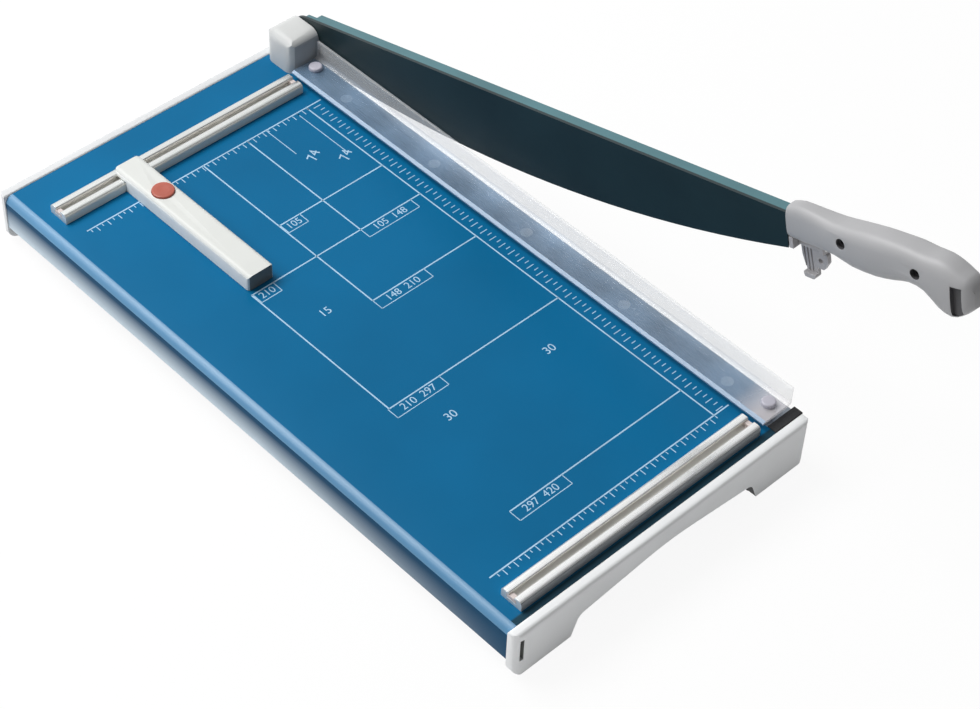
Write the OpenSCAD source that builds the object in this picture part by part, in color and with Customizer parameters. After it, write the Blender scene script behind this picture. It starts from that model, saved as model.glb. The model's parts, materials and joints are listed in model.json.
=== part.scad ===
// Lever paper cutter: folded steel table between two moulded end caps, stop rails, a sliding backstop,
// a clear sprung guard and a curved blade on a hinged arm with a two-shell handle.
// Working coordinates: x = 0 is the cut plane, y = 0 the face of the far stop rail, z = 0 the table top.

/* [Table] */
// Distance from the cut plane to the outer face of the left skirt
table_w = 282; // [240:1:340]
// Clear length between the two stop rails
cut_len = 467; // [380:1:560]
// Height of the table top above the surface it stands on
table_h = 46; // [42:1:60]
// Strip of table behind the far stop rail
far_strip = 35; // [34:1:60]
// Strip of table in front of the near stop rail
near_strip = 6; // [3:1:14]
// Thickness of the table sheet
sheet_t = 1.5; // [1:0.1:2]
// Height of the left skirt below the table top
skirt_h = 30; // [24:1:34]
// Outer radius of the folded left edge
fold_r = 7; // [4:0.5:9]

/* [End caps] */
// Thickness of an end cap along the table
cap_t = 8.5; // [8:0.5:16]
// How far the caps stand out beyond the left skirt
cap_proud = 1; // [1:0.5:5]
// Height of the cap rim above the table top
cap_lip = 1; // [0.5:0.1:2]
// Rounding of the cap's upper outer edge
cap_edge_r = 3.5; // [1:0.5:5]
// Rounding of the cap's upright outer corners
cap_corner_r = 7; // [3:0.5:7.5]
// Gap between the caps and the plane that the blade sweeps
cap_side_gap = 1; // [0.6:0.1:2]
// Reach of the near cap past the cut plane
cap_reach = 3.5; // [0:0.5:4]
// Width of the left feet
foot_left_w = 52; // [40:1:70]
// Width of the right feet
foot_right_w = 47; // [44:1:70]
// Depth of the feet below the table, inwards of the cap
foot_depth = 34; // [31:1:50]
// Wall of the hollow feet
foot_wall = 3; // [2:0.5:4]
// Sideways run of a foot's inner flank
foot_slope = 7; // [4:0.5:12]
// Rise of the arch where it leaves the feet
arch_side = 18; // [10:0.5:20]
// Rise of the arch at its middle
arch_mid = 27; // [22:0.5:29]
// Radius of a rubber foot
pad_r = 8; // [6:0.5:10]
// Thickness of a rubber foot
pad_h = 4; // [3:0.5:5]
// Depth of the seat that holds a rubber foot
pad_seat = 1; // [0.5:0.1:1.5]

/* [Stop rails] */
// Width of a stop rail
rail_w = 19; // [18:0.5:24]
// Height of a stop rail
rail_h = 8.5; // [8:0.5:11]
// Distance from the left skirt to the rails
rail_left = 17; // [12:1:40]
// Distance from the cut plane to the rails
rail_right = 35; // [34:1:60]
// Width of the mouth of the rail groove
groove_mouth = 5; // [4.6:0.1:6]
// Width of the rail groove below its lips
groove_w = 9; // [8:0.5:11]
// Thickness of the rail below the groove
groove_floor = 3; // [2.5:0.1:3.4]
// Thickness of the lips over the groove
groove_lip = 2; // [1.5:0.1:2.2]
// Length of the plugs that close the rail ends
plug_len = 4; // [2:0.5:8]

/* [Lower knife] */
// Width of the lower knife
knife_w = 25; // [22:0.5:30]
// Thickness of the lower knife
knife_t = 6; // [5:0.5:8]
// Height of the steel bed below the lower knife
bed_h = 12; // [11:0.5:16]
// Set-back of the bed from the cut plane
bed_setback = 3; // [2:0.5:5]
// Number of screws that hold the lower knife
knife_screw_n = 5; // [3:1:7]

/* [Blade and arm] */
// Gap between the blade and the lower knife
cut_gap = 0.15; // [0.1:0.05:0.3]
// Thickness of the blade
blade_t = 2.5; // [2:0.1:4]
// Distance from the pivot to the end of the blade
blade_len = 508; // [490:1:540]
// Height of the blade's straight back above the pivot, also the radius of its heel
blade_back = 20; // [17:0.5:24]
// Depth of the cutting edge below the pivot at its deepest point
edge_depth = 40.5; // [36:0.5:44]
// Distance from the pivot to the deepest point of the edge
edge_mid = 230; // [210:1:250]
// Radius of the curved cutting edge
edge_r = 1200; // [1100:10:1400]
// Width of the ground bevel
bevel_w = 7; // [4:0.5:12]
// Thickness left at the cutting edge
bevel_land = 0.4; // [0.2:0.1:0.8]
// Angle at which the arm stands above the table
arm_raise = 15; // [8:0.5:30]
// Thickness of the arm bar
bar_t = 3; // [2.5:0.1:4]
// Depth of the arm bar's web below the blade's back
bar_depth = 28; // [24:1:34]
// Width of the arm bar's top flange, out from the web
bar_flange = 5; // [3:0.5:8]
// Number of screws that hold the blade on the arm bar
blade_screw_n = 6; // [4:1:8]

/* [Pivot] */
// Distance from the pivot to the far edge of the table
pivot_inset = 20; // [19:0.5:24]
// Height of the pivot above the table top
pivot_h = 14; // [12:0.5:18]
// Radius of the pivot bolt's shoulder
bolt_r = 5; // [4:0.5:6]
// Wall of the pivot bush
bush_wall = 3; // [2:0.5:4]
// How far the bush stands out on each side of the arm
bush_proud = 0.4; // [0.3:0.1:0.8]
// Thickness of the pivot bracket
bracket_t = 13; // [12:0.5:16]
// Thickness of the thrust washer
washer_t = 1.5; // [1:0.1:2.5]
// Thickness of one disc spring
disc_t = 1; // [0.8:0.1:1.5]
// Dish of one disc spring
disc_dish = 0.6; // [0.4:0.1:1]
// Height of the bolt head
bolt_head_h = 6; // [4:0.5:8]
// Height of the pivot cover above the table top
cover_h = 31; // [30:0.5:36]
// Width of the pivot cover
cover_w = 29; // [27.5:0.5:36]
// Wall of the pivot cover
cover_wall = 2; // [1.5:0.1:2.5]

/* [Guard] */
// Travel of the guard when it is pressed down
guard_travel = 4.5; // [4.2:0.1:6]
// Gap that stays below the guard when it is pressed down
guard_rest = 0.5; // [0.4:0.1:1]
// Thickness of the clear guard
guard_t = 2.5; // [2:0.1:3.5]
// Height of the guard's upright wall above the table top
guard_h = 23; // [16:0.5:26]
// Width of the guard's flat flange
guard_flange = 29.5; // [26:0.5:32]
// Gap between the guard and the cut plane
guard_side_gap = 1; // [0.6:0.1:2]
// Radius of the guard posts
post_r = 3; // [2.5:0.1:3.5]
// Distance from a guard post to the end of the guard
post_inset = 10; // [8:0.5:20]
// Wire diameter of a guard spring
guard_wire = 1; // [0.8:0.1:1.2]
// Number of curls of a guard spring
guard_curls = 7; // [5:1:9]

/* [Backstop] */
// Distance from the cut plane to the middle of the backstop
backstop_x = 197.3; // [120:0.1:230]
// Height of the backstop
backstop_h = 14; // [13.6:0.1:16]
// Wall of the hollow backstop
backstop_wall = 1.8; // [1.5:0.1:2]
// Reach of the backstop's tip from the face of the far rail
backstop_reach = 144; // [100:1:200]
// Width of the backstop
backstop_w = 24; // [23.6:0.2:32]
// Radius of the release button
button_r = 8.8; // [8:0.1:9]
// Travel of the release button
button_travel = 1.2; // [0.6:0.1:1.3]
// Height of the pressed button above the backstop
button_flush = 0.4; // [0.2:0.1:1.5]
// Wire diameter of the button spring
button_wire = 0.6; // [0.4:0.1:0.8]
// Number of curls of the button spring
button_curls = 4; // [3:1:6]

/* [Handle] */
// Length of the handle
handle_len = 153; // [140:1:190]
// Width of the grip
handle_w = 23; // [20:0.5:26]
// Height of the grip
handle_h = 31; // [29:0.5:34]
// Rise of the grip's middle above the handle's nose
grip_rise = 6.5; // [4:0.1:8]
// Sideways place of the handle's middle from the cut plane
handle_x = 7; // [6.8:0.1:9]
// Radius of the handle screws
handle_screw_r = 2.2; // [1.6:0.1:2.5]

/* [Latch] */
// Length of the latch hook below its pin
latch_len = 26.5; // [24:0.5:29]
// Width of the latch hook along the handle
latch_w = 18; // [16:0.5:20]
// Thickness of the latch hook
latch_t = 4; // [3:0.5:5]
// Reach of the hook's toe towards the table
latch_toe = 3.5; // [2.6:0.1:3.7]
// Swing of the latch hook from free to locked
latch_swing = 14; // [10:1:15]
// Radius of the latch pin
latch_pin_r = 1.5; // [1:0.1:1.8]

/* [Clearances] */
// Clearance between pieces that move past each other
gap = 0.3; // [0.2:0.05:0.4]
// Radial clearance of a running fit
run_fit = 0.05; // [0.02:0.01:0.09]
// Radial clearance of a seated or threaded piece
seat_fit = 0.03; // [0.02:0.01:0.09]

/* [Hidden] */
$fn = 48;
cut_through = 1;

// Lengthwise places
far_edge = rail_w + far_strip;
near_edge = -cut_len - rail_w - near_strip;
pivot_y = far_edge - pivot_inset;
cover_front = 13.5;
cover_r = 9;
end_gap = 0.5;
cover_y0 = pivot_y - cover_front;
cover_y1 = far_edge - end_gap;
knife_inset = 8;
buffer_gap = 0.1;
buffer_h = 0.8;
knife_y0 = near_edge + knife_inset;
knife_y1 = cover_y0 - end_gap;
guard_inset = 8;
guard_y0 = near_edge + guard_inset;
guard_y1 = cover_y0 - 3 * end_gap;
post_ys = [guard_y0 + post_inset, guard_y1 - post_inset];

// Sideways places
cap_left = -(table_w + cap_proud);
cap_right = -cap_side_gap;
rail_x0 = -(table_w - rail_left);
rail_x1 = -rail_right;
bed_x0 = -knife_w;
bed_x1 = -bed_setback;
bed_mid = (bed_x0 + bed_x1) / 2;
bar_x0 = cut_gap + blade_t;
bar_x1 = bar_x0 + bar_t;
bush_x0 = cut_gap - bush_proud;
bush_x1 = bar_x1 + bush_proud;
bracket_x1 = bush_x0 - gap;
bracket_x0 = bracket_x1 - bracket_t;
washer_x0 = bush_x1 + gap;
disc_x0 = washer_x0 + washer_t;
disc_stack = 2 * (disc_t + disc_dish);
bolt_head_x0 = disc_x0 + disc_stack;
bolt_head_x1 = bolt_head_x0 + bolt_head_h;
thread_r = bolt_r - 1;
nut_h = 6.5;

// Heights, from the table top
bed_top = -knife_t;
bed_bottom = bed_top - bed_h;
pad_bottom = -table_h;
foot_bottom = pad_bottom + pad_h - pad_seat;
pad_inset = 2 * pad_r;
cap_top = cap_lip;
cap_top_r = 2;
cap_end_r = 4;
cap_low_r = 1;
cap_rim_r = 2;
foot_out_r = 10;
foot_in_r = 3;
foot_end_r = 9;
flank_r = 8;
arch_r = 200;
slit_inset = 4.5;
slit_w = 3;
slit_depth = 3;
slit_z = [-27, -6];
groove_top = rail_h - groove_lip;
rail_edge_r = 3;
groove_edge_r = 1.2;
flange_h = -bed_bottom;

// Screws: radius, head radius and head height
cap_screw = [2, 3.6, 2.4];
bed_screw = [2.5, 4.4, 3];
knife_screw = [2.5, 4.8, 2.6];
rail_screw = [2, 3.6, 2.2];
bracket_screw = [2, 3.5, 3];
blade_screw = [2.5, 4.5, 2.6];
cap_screw_z = -9;
cap_screw_grip = 7;
screw_spare = 0.5;
cap_screw_inset = 42;
cap_screw_xs = [cap_left + cap_screw_inset, (cap_left + cap_right) / 2, cap_right - cap_screw_inset];
blade_screw_bite = blade_t - 0.6;
blade_screw_ends = [60, 30];
bed_screw_n = 4;
bed_screw_grip = 8;
bed_screw_z = bed_bottom + bed_h / 2;
knife_screw_grip = 6;
knife_screw_inset = 48;
bed_screw_inset = 70;
rail_screw_inset = 30;
rail_screw_grip = groove_floor - screw_spare;
bracket_screw_grip = 8;
bracket_screw_x = bed_mid + 3.5;
bracket_front = 11;
bracket_back = 15;
bracket_rise = 12;
bracket_r = 8;
bracket_y0 = pivot_y - bracket_front;
bracket_y1 = pivot_y + bracket_back;
bracket_top = pivot_h + bracket_rise;
bracket_screw_inset = bracket_screw[1];
bracket_screw_ys = [bracket_y0 + bracket_screw_inset, bracket_y1 - bracket_screw_inset];

// Guard posts and springs
guard_lift = guard_travel + guard_rest;
post_seat = bed_bottom + 4;
post_pocket_r = post_r + guard_wire + 2;
post_thread_r = post_r - 0.5;
post_head_r = post_r + 2.5;
post_head_h = 3;
post_top = guard_lift + guard_t + gap;
guard_spring_r = post_r + 3 * gap + guard_wire / 2;
guard_x1 = -guard_side_gap;
guard_x0 = guard_x1 - guard_flange;
guard_bevel = [2.6, 1.3];
guard_fillet_r = 4;
guard_edge_r = 0.8;
guard_heel_r = 2.5;

// Backstop
backstop_head_y = rail_w - 5;
backstop_corner_r = 3;
backstop_edge_r = 4;
backstop_in = backstop_w / 2 - backstop_wall - gap;
backstop_lift = 0.4;
button_proud = button_travel + button_flush;
backstop_roof = backstop_h - backstop_wall;
rail_clear = rail_h + backstop_lift;
groove_y = rail_w / 2;
button_y = -30.5;
button_collar_h = 1.4;
button_collar_r = backstop_in;
button_collar_z = backstop_roof - gap - button_collar_h;
button_stem_r = 2.4;
button_stem_z = 3;
base_plate_t = 1.5;
base_plate_top = backstop_lift + base_plate_t;
base_plate_y = [-46, -3];
button_spring_r = 4.6;
lever_y = -9.5;
lever_pin_r = 1.2;
lever_pin_half = (backstop_w - backstop_wall) / 2;
lever_hub_r = 2.4;
lever_prong_t = 1.4;
lever_tip = 2;
lever_prong_top = button_collar_z - gap;
lever_z = lever_prong_top - lever_hub_r + 0.7;
lever_arm_z = [rail_clear, rail_clear + 1.2];
lever_arm_half = 4.5;
brake_half = 2.8;
brake_stem_half = 1.8;
brake_t = 1.2;
brake_z = groove_floor + 0.25;
shoe_x0 = lever_arm_half + 2 * gap;

// Handle stations: share of the length, lift in grip rises, height and width as shares of the grip's
stations = [
    [0.00, 0.12, 0.81, 0.64], [0.06, 0.31, 0.90, 0.66], [0.16, 0.35, 0.86, 0.74],
    [0.27, 0.36, 0.82, 0.88], [0.37, 0.26, 0.97, 0.97], [0.50, 0.46, 1.04, 1.00],
    [0.60, 0.75, 0.96, 1.00], [0.68, 1.03, 0.86, 1.00], [0.76, 0.79, 0.90, 1.00],
    [0.83, 0.14, 1.20, 1.00], [0.89, -0.28, 1.23, 0.97], [0.94, -0.28, 1.00, 0.90],
    [0.975, -0.12, 0.78, 0.74], [1.00, -0.25, 0.48, 0.42]
];
station_steps = 2;
ring_sides = 28;
squareness = 3.4;
handle_t = blade_back / 2 + 1;
split_x = bar_x0 + bar_t / 2;
tang_drop = 5;
tang_rise = 8.4;
tang_t = [handle_t - tang_drop, handle_t + tang_rise];
tang_end = blade_len + 0.81 * handle_len;
front_screw_rise = 4.6;
back_screw_rise = 5.4;
handle_screws_st = [
    [blade_len + 0.325 * handle_len, handle_t + front_screw_rise],
    [blade_len + 0.727 * handle_len, handle_t + back_screw_rise]
];
handle_screw_head = [3.8, 2.2];
socket_floor = 0.8;
handle_screw_seat = 1.65;
handle_screw_x = bar_x0 - handle_screw_seat;
handle_nut_r = 4.2;
handle_nut_h = 3.2;
handle_nut_seat = 5;
handle_nut_x = bar_x1 + handle_nut_seat;
handle_end = blade_len + handle_len;
pommel_slot_s = blade_len + 0.93 * handle_len;
pommel_slot_w = 8;
pommel_slot_h = 23;
pommel_slot_d = 4;

// Latch: the hook's leg leans back so that it lies along the near cap once it has swung in
latch_ear = 3.5;
latch_inset = 0.5;
latch_offset = 5;
latch_start = blade_len + latch_inset;
latch_s = [latch_start, latch_start + latch_w + 2 * (latch_ear + gap)];
latch_pin_x = cap_reach + latch_offset;
latch_pin_t = handle_t - handle_h / 2;
latch_knuckle_r = latch_pin_r + 1.5;
latch_seat_t = latch_pin_t + 5.5;
latch_base_t = latch_pin_t + latch_knuckle_r + gap;
latch_half = 3.6;
latch_toe_h = 4;
latch_lean = 1.6;
prong_reach = 4.5;
prong_top = 3.5;
prong_mid = 11;
prong_low = 18;
leg_s = [3, 12.5];
leg_top = 11;
eye_r = 2;
eye_drop = 11;
rib_n = 3;
rib_pitch = 3;
rib_w = 1.2;
rib_depth = 0.4;
latch_face_x = latch_pin_x - 0.9;
latch_mid_s = latch_s[0] + latch_ear + gap + latch_w / 2;
toe_x = latch_face_x + latch_lean - latch_toe;

// Recess for the hook's toe in the near cap, with the arm down and the hook swung in
closed_drop = 1;
closed_pin_z = pivot_h - latch_mid_s * sin(closed_drop) + latch_pin_t;
toe_y = pivot_y - latch_mid_s * cos(closed_drop);
toe_out = latch_pin_x - toe_x;
recess_x0 = latch_pin_x - toe_out * cos(latch_swing) - latch_len * sin(latch_swing) - 2 * gap;
toe_swung = toe_out * sin(latch_swing) - (latch_len - latch_toe_h) * cos(latch_swing);
recess_top = closed_pin_z + toe_swung + 2 * gap;
recess_low = closed_pin_z - latch_len - 2 * gap;
recess_half = latch_w / 2 + 2;

// Curved cutting edge
edge_centre_t = edge_r - edge_depth;

// Outlines: a corner is [x, y, radius]
corner_steps = 6;
function unit(v) = v / norm(v);
function at(p) = [p[0], p[1]];
function half_turn(a) = a > 180 ? a - 360 : a < -180 ? a + 360 : a;
function rounded_corner(a, b, c, r) =
    let (u = unit(a - b), w = unit(c - b), half = acos(u * w) / 2)
    let (centre = b + unit(u + w) * r / sin(half))
    let (p = b + u * r / tan(half) - centre, q = b + w * r / tan(half) - centre)
    let (start = atan2(p[1], p[0]), sweep = half_turn(atan2(q[1], q[0]) - start))
    [for (i = [0:corner_steps])
        let (turn = start + sweep * i / corner_steps)
        centre + r * [cos(turn), sin(turn)]];
function outline(corners) =
    let (n = len(corners))
    [for (i = [0:n - 1])
        let (before = at(corners[(i + n - 1) % n]), here = at(corners[i]), after = at(corners[(i + 1) % n]))
        each corners[i][2] == 0 ? [here] : rounded_corner(before, here, after, corners[i][2])];

// Prisms: an outline in (x, z) along y, in (y, z) along x, and in (arm length, arm height) along x
module along_y(y0, y1) {
    translate([0, y1, 0])
        rotate([90, 0, 0])
            linear_extrude(y1 - y0)
                children();
}
module along_x(x0, x1) {
    translate([x0, 0, 0])
        rotate([90, 0, 90])
            linear_extrude(x1 - x0)
                children();
}
module from_side(x0, x1) {
    translate([x1, 0, 0])
        rotate([90, 0, -90])
            linear_extrude(x1 - x0)
                children();
}
module box(low, high) {
    translate(low)
        cube(high - low);
}
module rod_x(x0, x1, r, sides = 0) {
    translate([x0, 0, 0])
        rotate([0, 90, 0])
            cylinder(h = x1 - x0, r = r, $fn = sides > 0 ? sides : $fn);
}
module on_base() {
    translate(shift)
        children();
}
module on_arm() {
    translate(shift + [0, pivot_y, pivot_h])
        rotate([-arm_raise, 0, 0])
            children();
}
module on_backstop() {
    translate(shift + [-backstop_x, 0, 0])
        children();
}

// A pan-head screw that points up from z = 0, with its head below
module screw_up(size, grip) {
    cylinder(h = grip, r = size[0]);
    translate([0, 0, -size[2]])
        cylinder(h = size[2], r = size[1]);
}

// A wound spring: one unbroken tube along a helix
function helix(r, z0, z1, curls, per_curl = 8) =
    [for (i = [0:curls * per_curl])
        [r * cos(360 * i / per_curl), r * sin(360 * i / per_curl), z0 + (z1 - z0) * i / (curls * per_curl)]];
function least_gap(path, wire, skip = 4) =
    let (last = len(path) - 1)
    min([for (i = [0:last - skip]) for (j = [i + skip:last]) norm(path[i] - path[j])]) - wire;
function tube_points(path, r, sides) =
    [for (i = [0:len(path) - 1])
        let (ahead = unit(path[min(i + 1, len(path) - 1)] - path[max(i - 1, 0)]))
        let (out = unit([path[i][0], path[i][1], 0]), side = cross(ahead, out), up = cross(side, ahead))
        for (k = [0:sides - 1]) path[i] + r * (cos(360 * k / sides) * up + sin(360 * k / sides) * side)];
function tube_faces(rings, sides) = concat(
    [for (i = [0:rings - 2]) for (k = [0:sides - 1])
        let (a = i * sides + k, b = i * sides + (k + 1) % sides)
        each [[a, b, a + sides], [b, b + sides, a + sides]]],
    [for (k = [1:sides - 2]) [0, k + 1, k]],
    [for (k = [1:sides - 2]) let (e = (rings - 1) * sides) [e, e + k, e + k + 1]]);
module wound_spring(label, r, wire, z0, z1, curls) {
    path = helix(r, z0 + wire / 2, z1 - wire / 2, curls);
    echo(str("least gap between the curls of the ", label), least_gap(path, wire));
    polyhedron(tube_points(path, wire / 2, 6), tube_faces(len(path), 6), convexity = 10);
}

// Table
module table_plate() {
    x1 = -knife_w;
    color("steelblue")
    on_base()
    difference() {
        union() {
            along_y(near_edge, far_edge)
                polygon(outline([
                    [-table_w, -skirt_h, 0], [-table_w, 0, fold_r], [x1, 0, 0], [x1, -flange_h, 0],
                    [x1 - sheet_t, -flange_h, 0], [x1 - sheet_t, -sheet_t, 0],
                    [-table_w + sheet_t, -sheet_t, fold_r - sheet_t], [-table_w + sheet_t, -skirt_h, 0]
                ]));
            for (y = [near_edge, far_edge - sheet_t])
                box([-table_w + fold_r, y, -flange_h], [x1 - sheet_t / 2, y + sheet_t, -sheet_t / 2]);
        }
        for (x = cap_screw_xs)
            translate([x, far_edge + cut_through, cap_screw_z])
                rotate([90, 0, 0])
                    cylinder(h = far_edge - near_edge + 2 * cut_through, r = cap_screw[0] + seat_fit);
        at_rail_screws()
            translate([0, 0, -sheet_t - cut_through])
                cylinder(h = sheet_t + 2 * cut_through, r = rail_screw[0] + seat_fit);
        at_bed_screws()
            translate([0, 0, -cut_through])
                cylinder(h = sheet_t + 2 * cut_through, r = bed_screw[0] + seat_fit);
    }
}

// End caps: the near cap is drawn in place, the far cap is its mirror
module cap_shape(inner, right) {
    outer = inner - cap_t;
    top = cap_top;
    low = foot_bottom;
    arch_x0 = cap_left + foot_left_w;
    arch_x1 = cap_right - foot_right_w;
    intersection() {
        along_y(outer, inner)
            polygon(outline([
                [cap_left, top, cap_top_r], [cap_left, low, foot_out_r], [arch_x0, low, foot_in_r],
                [arch_x0 + foot_slope, low + arch_side, flank_r],
                [(arch_x0 + arch_x1) / 2, low + arch_mid, arch_r],
                [arch_x1 - foot_slope, low + arch_side, flank_r],
                [arch_x1, low, foot_in_r], [right, low, foot_end_r], [right, top, cap_end_r]
            ]));
        along_x(cap_left, right)
            polygon(outline([
                [outer, low, cap_low_r], [outer, top, cap_edge_r], [inner, top, cap_rim_r], [inner, low, 0]
            ]));
        translate([0, 0, low])
            linear_extrude(top - low)
                polygon(outline([
                    [cap_left, inner, 0], [cap_left, outer, cap_corner_r], [right, outer, cap_corner_r],
                    [right, inner, 0]
                ]));
    }
}
module hollow_foot(x0, x1, inner) {
    y1 = inner + foot_depth;
    difference() {
        box([x0, inner - cut_through, foot_bottom], [x1, y1, bed_bottom]);
        box([x0 + foot_wall, inner, foot_bottom + foot_wall], [x1 - foot_wall, y1 - foot_wall, 0]);
    }
}
module end_cap(inner, right) {
    difference() {
        union() {
            cap_shape(inner, right);
            hollow_foot(-table_w + fold_r, cap_left + foot_left_w, inner);
            hollow_foot(cap_right - foot_right_w, right, inner);
        }
        for (x = cap_screw_xs)
            translate([x, inner + cut_through, cap_screw_z])
                rotate([90, 0, 0])
                    cylinder(h = cap_screw_grip + screw_spare + cut_through, r = cap_screw[0] + seat_fit);
        box([cap_left + slit_inset, inner - cap_t - cut_through, slit_z[0]],
            [cap_left + slit_inset + slit_w, inner - cap_t + slit_depth, slit_z[1]]);
        at_pads(inner)
            translate([0, 0, foot_bottom - cut_through])
                cylinder(h = pad_seat + cut_through, r = pad_r + seat_fit);
    }
}
module at_pads(inner) {
    for (x = [-table_w + fold_r + pad_inset, cap_right - foot_right_w / 2])
        translate([x, inner + foot_depth / 2 - pad_h, 0])
            children();
}
module mirror_to_far() {
    translate([0, near_edge + far_edge, 0])
        mirror([0, 1, 0])
            children();
}
module near_end_cap() {
    color("lightgray")
    on_base()
    difference() {
        end_cap(near_edge, cap_reach);
        box([recess_x0, toe_y - recess_half, recess_low],
            [cap_reach + cut_through, toe_y + recess_half, recess_top]);
    }
}
module far_end_cap() {
    color("lightgray")
    on_base()
    mirror_to_far()
        end_cap(near_edge, cap_right);
}
module rubber_feet() {
    color("dimgray")
    on_base() {
        at_pads(near_edge)
            rubber_foot();
        mirror_to_far()
            at_pads(near_edge)
                rubber_foot();
    }
}
module rubber_foot() {
    translate([0, 0, pad_bottom])
        cylinder(h = pad_h, r = pad_r);
}
module arm_buffer() {
    color("black")
    on_base()
    along_y(near_edge + buffer_gap, knife_y0 - buffer_gap)
        polygon(outline([
            [bed_x0, bed_top, 0], [bed_x0, buffer_h, 0.5], [cap_reach, buffer_h, 1], [cap_reach, bed_top, 1]
        ]));
}
module cap_screws() {
    color("silver")
    on_base() {
        cap_screw_row();
        mirror_to_far()
            cap_screw_row();
    }
}
module cap_screw_row() {
    for (x = cap_screw_xs)
        translate([x, near_edge + sheet_t, cap_screw_z])
            rotate([90, 0, 0])
                screw_up(cap_screw, sheet_t + cap_screw_grip);
}

// Lower knife and its bed
module at_posts() {
    for (y = post_ys)
        translate([bed_mid, y, 0])
            children();
}
module at_knife_screws() {
    first = knife_y0 + knife_screw_inset;
    pitch = (knife_y1 - knife_screw_inset - first) / (knife_screw_n - 1);
    for (i = [0:knife_screw_n - 1])
        translate([bed_mid, first + i * pitch, 0])
            children();
}
module at_bed_screws() {
    first = knife_y0 + bed_screw_inset;
    pitch = (knife_y1 - bed_screw_inset - first) / (bed_screw_n - 1);
    for (i = [0:bed_screw_n - 1])
        translate([-knife_w - sheet_t, first + i * pitch, bed_screw_z])
            rotate([0, 90, 0])
                children();
}
module at_bracket_screws() {
    for (y = bracket_screw_ys)
        translate([bracket_screw_x, y, bed_bottom])
            children();
}
module knife_bed() {
    color("slategray")
    on_base()
    difference() {
        box([bed_x0, near_edge + sheet_t, bed_bottom], [bed_x1, far_edge - sheet_t, bed_top]);
        at_posts() {
            translate([0, 0, post_seat])
                cylinder(h = bed_h, r = post_pocket_r);
            translate([0, 0, bed_bottom - cut_through])
                cylinder(h = bed_h, r = post_thread_r + seat_fit);
        }
        at_knife_screws()
            translate([0, 0, bed_top - knife_screw_grip])
                cylinder(h = knife_screw_grip + cut_through, r = knife_screw[0] + seat_fit);
        at_bed_screws()
            cylinder(h = sheet_t + bed_screw_grip, r = bed_screw[0] + seat_fit);
        at_bracket_screws()
            translate([0, 0, -cut_through])
                cylinder(h = bed_h + 2 * cut_through, r = bracket_screw[0] + seat_fit);
    }
}
module bed_screws() {
    color("silver")
    on_base()
    at_bed_screws()
        screw_up(bed_screw, sheet_t + bed_screw_grip);
}
module lower_knife() {
    color("gainsboro")
    on_base()
    difference() {
        box([-knife_w, knife_y0, bed_top], [0, knife_y1, 0]);
        at_posts()
            translate([0, 0, bed_top - cut_through])
                cylinder(h = knife_t + 2 * cut_through, r = post_pocket_r);
        at_knife_screws()
            countersunk(knife_screw, knife_t + cut_through, seat_fit, cut_through);
    }
}
module countersunk(size, grip, spare, above) {
    shank = size[0] + spare;
    head = size[1] + spare;
    translate([0, 0, -grip])
        cylinder(h = grip + above, r = shank);
    rotate_extrude()
        polygon([[0, above], [head, above], [head, 0], [shank, -size[2]], [0, -size[2]]]);
}
module knife_screws() {
    color("gray")
    on_base()
    at_knife_screws()
        countersunk(knife_screw, knife_t + knife_screw_grip, 0, -seat_fit);
}

// Stop rails
module rail_section() {
    mid = rail_w / 2;
    polygon(outline([
        [0, 0, 0], [0, rail_h, rail_edge_r],
        [mid - groove_mouth / 2, rail_h, groove_edge_r], [mid - groove_mouth / 2, groove_top, 0],
        [mid - groove_w / 2, groove_top, 0], [mid - groove_w / 2, groove_floor, 0],
        [mid + groove_w / 2, groove_floor, 0], [mid + groove_w / 2, groove_top, 0],
        [mid + groove_mouth / 2, groove_top, 0], [mid + groove_mouth / 2, rail_h, groove_edge_r],
        [rail_w, rail_h, rail_edge_r], [rail_w, 0, 0]
    ]));
}
module stop_rail(y0) {
    difference() {
        translate([0, y0, 0])
            along_x(rail_x0, rail_x1)
                rail_section();
        at_rail_screws()
            cylinder(h = 2 * rail_screw_grip, r = rail_screw[0] + seat_fit, center = true);
    }
}
module at_rail_screws() {
    for (x = [rail_x0 + rail_screw_inset, rail_x1 - rail_screw_inset])
        for (y = [groove_y, -cut_len - rail_w / 2])
            translate([x, y, 0])
                children();
}
module far_stop_rail() {
    color("silver")
    on_base()
    stop_rail(0);
}
module near_stop_rail() {
    color("silver")
    on_base()
    stop_rail(-cut_len - rail_w);
}
module rail_screws() {
    color("gray")
    on_base()
    at_rail_screws()
        translate([0, 0, -sheet_t])
            screw_up(rail_screw, sheet_t + rail_screw_grip - seat_fit);
}
module rail_end_plugs() {
    w = groove_w - 2 * seat_fit;
    color("whitesmoke")
    on_base()
    for (x = [rail_x0, rail_x1 - plug_len])
        for (y = [groove_y, -cut_len - rail_w / 2])
            box([x, y - w / 2, groove_floor], [x + plug_len, y + w / 2, groove_top - seat_fit]);
}

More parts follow.
